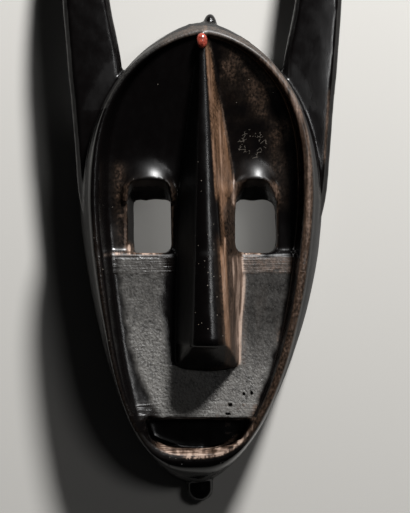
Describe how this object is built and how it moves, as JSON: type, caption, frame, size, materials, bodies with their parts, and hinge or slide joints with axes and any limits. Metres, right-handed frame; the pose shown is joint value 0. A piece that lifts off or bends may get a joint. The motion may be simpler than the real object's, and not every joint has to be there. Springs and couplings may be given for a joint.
{
  "type": "wooden animal face mask",
  "caption": "Carved wooden face mask with a long beam nose, deep rim, square eye holes, slot mouth and tall upright ears, hollow behind.",
  "frame": {"origin": "centre of the footprint, in the plane of the flat back rim that the mask lies on", "axes": "+Y up the face from the chin to the ear tips, +Z out of the face, +X to the right of a viewer who looks at the face"},
  "size_m": [0.2066, 0.475, 0.1067],
  "materials": {
    "patinated_wood": "blackened hardwood, hand carved, worn to a dull gloss",
    "red_resin": "glossy hardened resin drop"
  },
  "bodies": {
    "root": {"mask": "patinated_wood", "red_drop": "red_resin"}
  },
  "joints": []
}
